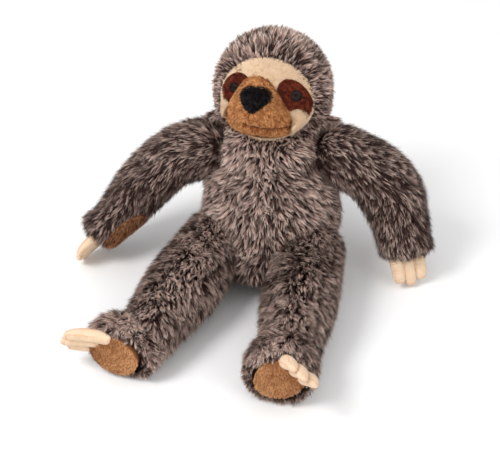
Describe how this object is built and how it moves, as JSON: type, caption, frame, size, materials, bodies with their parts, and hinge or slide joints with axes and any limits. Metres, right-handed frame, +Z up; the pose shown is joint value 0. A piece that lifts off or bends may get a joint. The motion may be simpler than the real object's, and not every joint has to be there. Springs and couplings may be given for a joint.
{
  "type": "plush sloth",
  "caption": "Seated plush sloth with long two-tone fur, a cream face, limbs that turn at their sewn roots, and padded claws that bend.",
  "frame": {"origin": "middle of the flat patch that the torso sits on", "axes": "+Z up, the toy faces -Y, and its own left side is +X"},
  "size_m": [0.3123, 0.3083, 0.2086],
  "materials": {
    "light_fur": "long two-tone pile, dark roots and taupe tips",
    "dark_fur": "long two-tone pile, dark roots and taupe tips",
    "stuffing": "loose polyester fibre",
    "cream_cloth": "short pile",
    "tan_cloth": "short pile",
    "patch_cloth": "felt",
    "charcoal_thread": "satin stitch",
    "black_thread": "thick satin stitch",
    "claw_cloth": "fine weave",
    "sole_cloth": "short pile"
  },
  "bodies": {
    "torso": {"torso_skin": "light_fur", "torso_filling": "stuffing"},
    "neck": {"neck_filling": "stuffing"},
    "head": {"head_skin": "light_fur", "head_filling": "stuffing", "face_panel": "cream_cloth", "eye_patch_left": "patch_cloth", "eye_patch_right": "patch_cloth", "eye_left": "charcoal_thread", "eye_right": "charcoal_thread", "muzzle": "tan_cloth", "nose": "black_thread", "mouth_stitch": "black_thread"},
    "left_shoulder": {"shoulder_filling_left": "stuffing"},
    "left_arm": {"arm_skin_left": "dark_fur", "arm_filling_left": "stuffing", "palm_pad_left": "sole_cloth"},
    "left_hand_claws": {"hand_claws_left": "claw_cloth"},
    "left_hip": {"hip_filling_left": "stuffing"},
    "left_leg": {"leg_skin_left": "dark_fur", "leg_filling_left": "stuffing"},
    "left_foot": {"foot_skin_left": "dark_fur", "foot_filling_left": "stuffing", "sole_pad_left": "sole_cloth"},
    "left_toe_claws": {"toe_claws_left": "claw_cloth"},
    "right_shoulder": {"shoulder_filling_right": "stuffing"},
    "right_arm": {"arm_skin_right": "dark_fur", "arm_filling_right": "stuffing", "palm_pad_right": "sole_cloth"},
    "right_hand_claws": {"hand_claws_right": "claw_cloth"},
    "right_hip": {"hip_filling_right": "stuffing"},
    "right_leg": {"leg_skin_right": "dark_fur", "leg_filling_right": "stuffing"},
    "right_foot": {"foot_skin_right": "dark_fur", "foot_filling_right": "stuffing", "sole_pad_right": "sole_cloth"},
    "right_toe_claws": {"toe_claws_right": "claw_cloth"}
  },
  "joints": [
    {"name": "neck_nod", "type": "hinge", "parent": "torso", "child": "neck", "pos_m": [-0.00206, 0.01357, 0.09904], "axis": [0.9981, 0.0209, 0.0574], "range_deg": [-20, 20]},
    {"name": "neck_turn", "type": "hinge", "parent": "neck", "child": "head", "pos_m": [-0.00206, 0.01357, 0.09904], "axis": [-0.061, 0.3414, 0.9379], "range_deg": [-50, 50]},
    {"name": "left_shoulder_raise", "type": "hinge", "parent": "torso", "child": "left_shoulder", "pos_m": [0.05659, 0.01616, 0.10618], "axis": [0, -0.9397, 0.342], "range_deg": [-6, 60]},
    {"name": "left_shoulder_swing", "type": "hinge", "parent": "left_shoulder", "child": "left_arm", "pos_m": [0.05659, 0.01616, 0.10618], "axis": [-0.9981, -0.0209, -0.0574], "range_deg": [-25, 45]},
    {"name": "left_hand_claws_flex", "type": "hinge", "parent": "left_arm", "child": "left_hand_claws", "pos_m": [0.12057, -0.00462, 0.02893], "axis": [0.8387, 0.5446, 0], "range_deg": [-25, 25]},
    {"name": "left_hip_spread", "type": "hinge", "parent": "torso", "child": "left_hip", "pos_m": [0.042, -0.038, 0.035], "axis": [0, 0, 1], "range_deg": [-3, 40]},
    {"name": "left_hip_swing", "type": "hinge", "parent": "left_hip", "child": "left_leg", "pos_m": [0.042, -0.038, 0.035], "axis": [-1, 0, 0], "range_deg": [-22, 20]},
    {"name": "left_ankle_flex", "type": "hinge", "parent": "left_leg", "child": "left_foot", "pos_m": [0.04961, -0.16241, 0.0255], "axis": [-0.7831, -0.0948, 0.6147], "range_deg": [-20, 20]},
    {"name": "left_toe_claws_flex", "type": "hinge", "parent": "left_foot", "child": "left_toe_claws", "pos_m": [0.05929, -0.19499, 0.03741], "axis": [0.8391, 0.0577, -0.5409], "range_deg": [-25, 25]},
    {"name": "right_shoulder_raise", "type": "hinge", "parent": "torso", "child": "right_shoulder", "pos_m": [-0.06119, 0.0137, 0.09941], "axis": [0, 0.9397, -0.342], "range_deg": [-6, 60]},
    {"name": "right_shoulder_swing", "type": "hinge", "parent": "right_shoulder", "child": "right_arm", "pos_m": [-0.06119, 0.0137, 0.09941], "axis": [-0.9981, -0.0209, -0.0574], "range_deg": [-25, 45]},
    {"name": "right_hand_claws_flex", "type": "hinge", "parent": "right_arm", "child": "right_hand_claws", "pos_m": [-0.1467, -0.03275, 0.0242], "axis": [0.1441, -0.7333, 0.6645], "range_deg": [-25, 25]},
    {"name": "right_hip_spread", "type": "hinge", "parent": "torso", "child": "right_hip", "pos_m": [-0.042, -0.038, 0.035], "axis": [0, 0, -1], "range_deg": [-14, 40]},
    {"name": "right_hip_swing", "type": "hinge", "parent": "right_hip", "child": "right_leg", "pos_m": [-0.042, -0.038, 0.035], "axis": [-1, 0, 0], "range_deg": [-22, 20]},
    {"name": "right_ankle_flex", "type": "hinge", "parent": "right_leg", "child": "right_foot", "pos_m": [-0.0711, -0.15919, 0.0255], "axis": [-0.1193, 0.106, -0.9872], "range_deg": [-20, 20]},
    {"name": "right_toe_claws_flex", "type": "hinge", "parent": "right_foot", "child": "right_toe_claws", "pos_m": [-0.09799, -0.18428, 0.02874], "axis": [0.0643, -0.4447, 0.8934], "range_deg": [-25, 25]}
  ]
}
